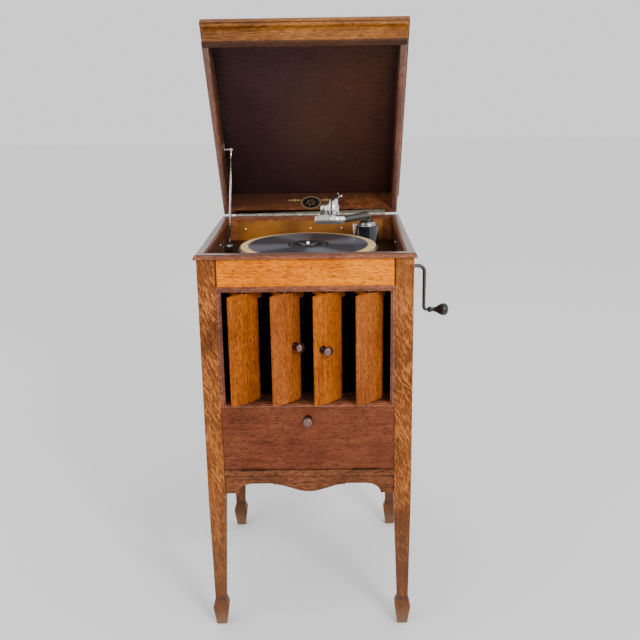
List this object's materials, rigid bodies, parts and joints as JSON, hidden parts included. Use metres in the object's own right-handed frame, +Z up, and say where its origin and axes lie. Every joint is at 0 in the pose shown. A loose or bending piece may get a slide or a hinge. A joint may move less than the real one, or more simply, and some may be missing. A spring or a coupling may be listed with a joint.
{
  "type": "gramophone",
  "caption": "Floor-standing wind-up gramophone: oak case on tapered legs, hinged lid with stay, pivoted shutters over an internal horn, drop-front record compartment, tonearm and turntable.",
  "frame": {"origin": "floor level at the centre of the case's plan", "axes": "+Z up, -Y the front with the shutters, +X the side with the crank"},
  "size_m": [0.5093, 0.5329, 1.2124],
  "materials": {
    "oak": "satin varnish, flecked figure",
    "stained_wood": "satin varnish",
    "inner_wood": "dull",
    "horn_wood": "black paint",
    "cast_iron": "rough",
    "nickel": "worn polish",
    "dull_nickel": "dulled",
    "steel": "dark",
    "brass": "tarnished",
    "bronze": "oxidised",
    "cloth": "short pile",
    "shellac": "glossy",
    "japan": "black enamel",
    "ebonised": "gloss black"
  },
  "bodies": {
    "cabinet": {"leg_front_left": "oak", "leg_front_right": "oak", "leg_rear_left": "oak", "leg_rear_right": "oak", "front_rail": "oak", "shutter_frame": "stained_wood", "shelf_board": "inner_wood", "front_apron": "stained_wood", "bottom_board": "inner_wood", "side_panel_left": "oak", "side_panel_right": "oak", "back_panel": "inner_wood", "rim_moulding": "stained_wood", "deck": "inner_wood", "horn_top": "horn_wood", "horn_bottom": "horn_wood", "horn_sides": "horn_wood", "horn_throat": "cast_iron", "case_hinge_leaf": "nickel", "rail_hinges": "brass", "shutter_pins": "steel", "tonearm_base": "japan", "tonearm_collar": "nickel", "tonearm_post": "nickel", "motor_frame": "cast_iron", "well_fittings": "nickel"},
    "lid": {"lid_top": "stained_wood", "lid_front_wall": "oak", "lid_back_wall": "oak", "lid_side_walls": "stained_wood", "lid_hinge_leaf": "nickel", "stay_bracket": "nickel"},
    "stay_rod": {"stay_rod": "nickel"},
    "stay_guide": {"stay_guide": "nickel"},
    "record_door": {"door": "stained_wood", "door_knob": "bronze", "door_hinges": "brass"},
    "shutter_1": {"shutter_1": "oak"},
    "shutter_2": {"shutter_2": "oak", "shutter_knob_left": "bronze"},
    "shutter_3": {"shutter_3": "oak", "shutter_knob_right": "bronze"},
    "shutter_4": {"shutter_4": "oak"},
    "shutter_link": {"shutter_link": "steel"},
    "turntable": {"platter": "dull_nickel", "platter_cloth": "cloth", "record": "shellac", "spindle": "steel"},
    "spring_barrel": {"spring_barrel": "brass"},
    "governor": {"governor": "brass"},
    "crank": {"crank": "steel"},
    "crank_handle": {"crank_handle": "ebonised"},
    "winding_arbor": {"winding_arbor": "steel"},
    "tonearm": {"tonearm_tube": "dull_nickel", "tonearm_elbow": "nickel"},
    "soundbox": {"soundbox_crook": "nickel", "soundbox": "nickel", "needle": "steel"},
    "needle_screw": {"needle_screw": "nickel"},
    "brake": {"brake_lever": "nickel"}
  },
  "joints": [
    {"name": "lid_hinge", "type": "hinge", "parent": "cabinet", "child": "lid", "pos_m": [0, 0.226, 0.787], "axis": [1, 0, 0], "range_deg": [0, 46]},
    {"name": "stay_rod_pivot", "type": "hinge", "parent": "lid", "child": "stay_rod", "pos_m": [-0.172, 0.16772, 0.9439], "axis": [1, 0, 0], "range_deg": [-22.35, 0]},
    {"name": "stay_guide_swivel", "type": "hinge", "parent": "cabinet", "child": "stay_guide", "pos_m": [-0.172, 0.067, 0.745], "axis": [1, 0, 0], "range_deg": [0, 23.85]},
    {"name": "record_door_hinge", "type": "hinge", "parent": "cabinet", "child": "record_door", "pos_m": [0, -0.2235, 0.35265], "axis": [1, 0, 0], "range_deg": [0, 90]},
    {"name": "shutter_1_pivot", "type": "hinge", "parent": "cabinet", "child": "shutter_1", "pos_m": [-0.12, -0.211, 0.6], "axis": [0, 0, 1], "range_deg": [-43, 27]},
    {"name": "shutter_2_pivot", "type": "hinge", "parent": "cabinet", "child": "shutter_2", "pos_m": [-0.04, -0.211, 0.6], "axis": [0, 0, 1], "range_deg": [-43, 27]},
    {"name": "shutter_3_pivot", "type": "hinge", "parent": "cabinet", "child": "shutter_3", "pos_m": [0.04, -0.211, 0.6], "axis": [0, 0, 1], "range_deg": [-43, 27]},
    {"name": "shutter_4_pivot", "type": "hinge", "parent": "cabinet", "child": "shutter_4", "pos_m": [0.12, -0.211, 0.6], "axis": [0, 0, 1], "range_deg": [-43, 27]},
    {"name": "link_pivot", "type": "hinge", "parent": "shutter_1", "child": "shutter_link", "pos_m": [-0.14046, -0.18906, 0.715], "axis": [0, 0, 1], "range_deg": [-27, 43]},
    {"name": "turntable_spin", "type": "hinge", "parent": "cabinet", "child": "turntable", "pos_m": [0, 0, 0.76], "axis": [0, 0, 1], "continuous": true},
    {"name": "spring_barrel_spin", "type": "hinge", "parent": "cabinet", "child": "spring_barrel", "pos_m": [-0.04, 0.03, 0.66], "axis": [0, 0, 1], "continuous": true},
    {"name": "governor_spin", "type": "hinge", "parent": "cabinet", "child": "governor", "pos_m": [0, -0.0235, 0.66], "axis": [1, 0, 0], "continuous": true},
    {"name": "crank_turn", "type": "hinge", "parent": "cabinet", "child": "crank", "pos_m": [0.2, 0.03, 0.7059], "axis": [1, 0, 0], "continuous": true},
    {"name": "winding_arbor_spin", "type": "hinge", "parent": "cabinet", "child": "winding_arbor", "pos_m": [-0.04, 0.03, 0.69], "axis": [0, 0, 1], "continuous": true},
    {"name": "crank_handle_spin", "type": "hinge", "parent": "crank", "child": "crank_handle", "pos_m": [0.28, 0.03, 0.6089], "axis": [1, 0, 0], "continuous": true},
    {"name": "tonearm_swing", "type": "hinge", "parent": "cabinet", "child": "tonearm", "pos_m": [0.129, 0.13, 0.801], "axis": [0, 0, 1], "range_deg": [-10, 26]},
    {"name": "soundbox_turn", "type": "hinge", "parent": "tonearm", "child": "soundbox", "pos_m": [0.06911, -0.02203, 0.816], "axis": [0.9976, -0.0698, 0], "range_deg": [0, 184]},
    {"name": "needle_screw_turn", "type": "hinge", "parent": "soundbox", "child": "needle_screw", "pos_m": [0.06666, 0.02604, 0.85735], "axis": [0.9976, -0.0698, 0], "continuous": true},
    {"name": "brake_swing", "type": "hinge", "parent": "cabinet", "child": "brake", "pos_m": [-0.14892, -0.07114, 0.734], "axis": [0, 0, 1], "range_deg": [-8, 4.4]}
  ],
  "couplings": [
    {"joint": "stay_rod_pivot", "follows": "lid_hinge", "ratio": -0.4836},
    {"joint": "stay_guide_swivel", "follows": "lid_hinge", "ratio": 0.5164},
    {"joint": "shutter_2_pivot", "follows": "shutter_1_pivot", "ratio": 1},
    {"joint": "shutter_3_pivot", "follows": "shutter_1_pivot", "ratio": 1},
    {"joint": "shutter_4_pivot", "follows": "shutter_1_pivot", "ratio": 1},
    {"joint": "link_pivot", "follows": "shutter_1_pivot", "ratio": -1},
    {"joint": "spring_barrel_spin", "follows": "turntable_spin", "ratio": -0.25},
    {"joint": "governor_spin", "follows": "turntable_spin", "ratio": 10},
    {"joint": "winding_arbor_spin", "follows": "crank_turn", "ratio": 0.33333}
  ]
}
